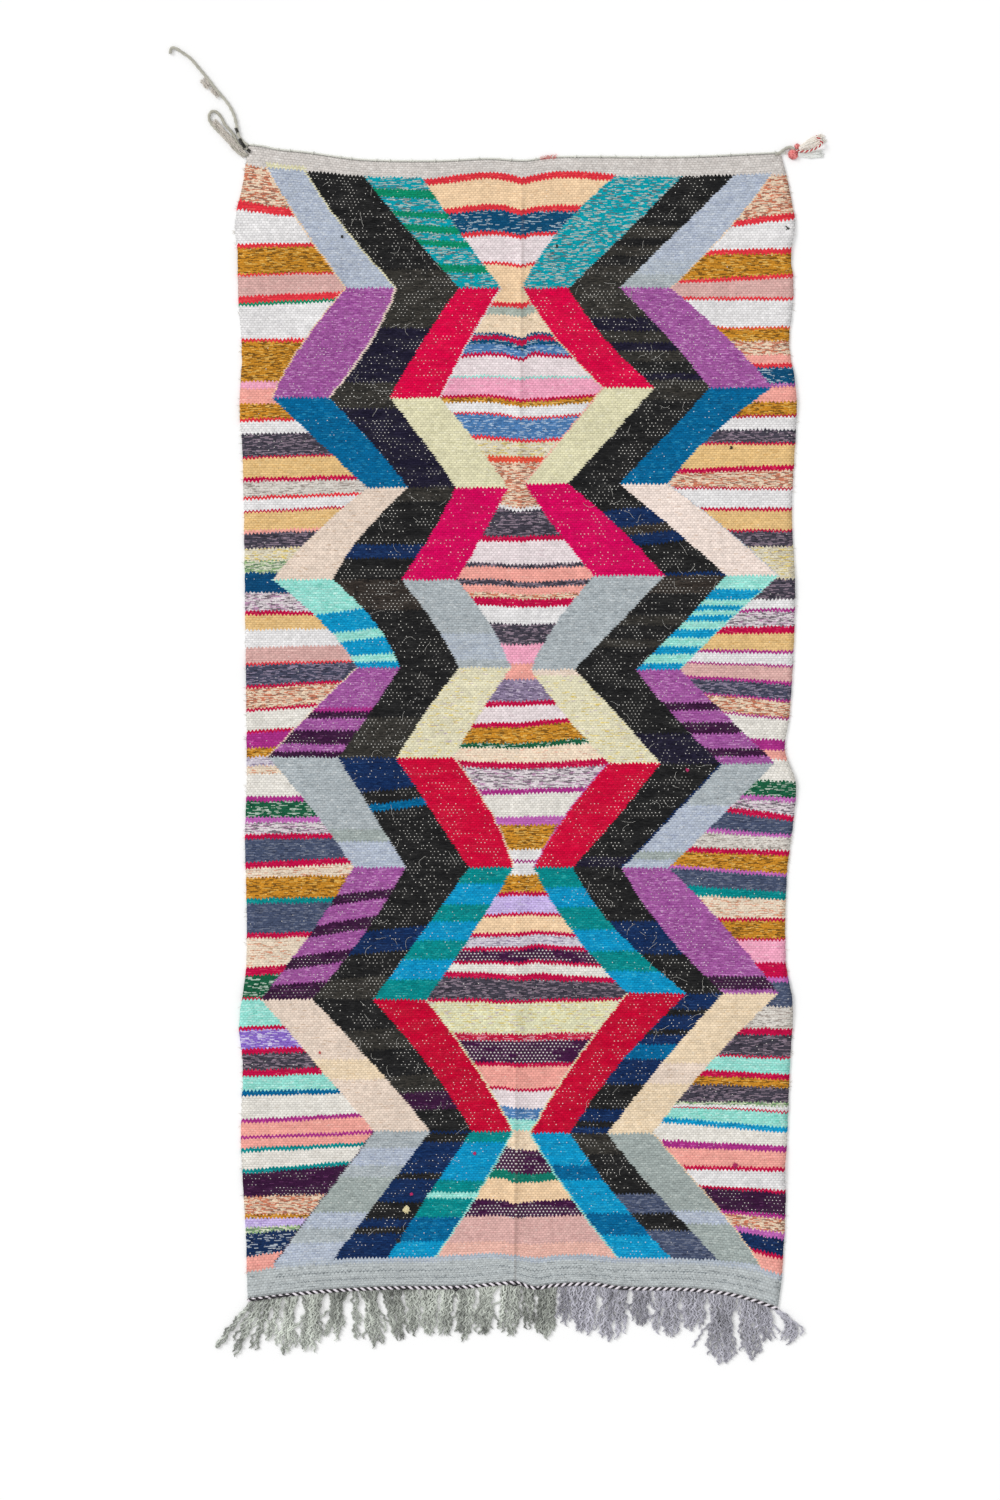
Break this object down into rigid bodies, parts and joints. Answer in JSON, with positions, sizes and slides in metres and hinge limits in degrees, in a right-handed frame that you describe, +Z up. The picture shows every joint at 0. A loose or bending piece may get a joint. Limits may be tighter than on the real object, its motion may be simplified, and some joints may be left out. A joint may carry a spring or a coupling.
{
  "type": "flatwoven boucherouite rug",
  "caption": "Long flatwoven rag-yarn rug laid flat, with zigzag bands over stripes, a twined end cord, a fringe at one end and yarn ties at its far corners.",
  "frame": {"origin": "centre of the cloth's underside, on the floor", "axes": "+X across the rug to the right, +Y along the warp towards the plain top heading, +Z up out of the floor"},
  "size_m": [1.4939, 2.9909, 0.011],
  "materials": {
    "woven_wool": "matt flatwoven wool and cotton in many colours",
    "heading_yarn": "matt grey two-ply yarn",
    "twined_yarn": "black and white strands twined together",
    "green_grey_yarn": "crinkled green-grey warp yarn",
    "lilac_grey_yarn": "crinkled lilac-grey warp yarn",
    "tail_yarn": "hairy grey two-ply yarn",
    "loop_yarn": "hairy grey two-ply yarn",
    "tassel_wool": "cream wool bound with red thread"
  },
  "bodies": {
    "root": {"rug_cloth": "woven_wool", "heading_cord": "heading_yarn", "end_cord": "twined_yarn", "fringe_left": "green_grey_yarn", "fringe_right": "lilac_grey_yarn", "corner_tail": "tail_yarn", "corner_loop": "loop_yarn", "corner_tassel": "tassel_wool"}
  },
  "joints": []
}
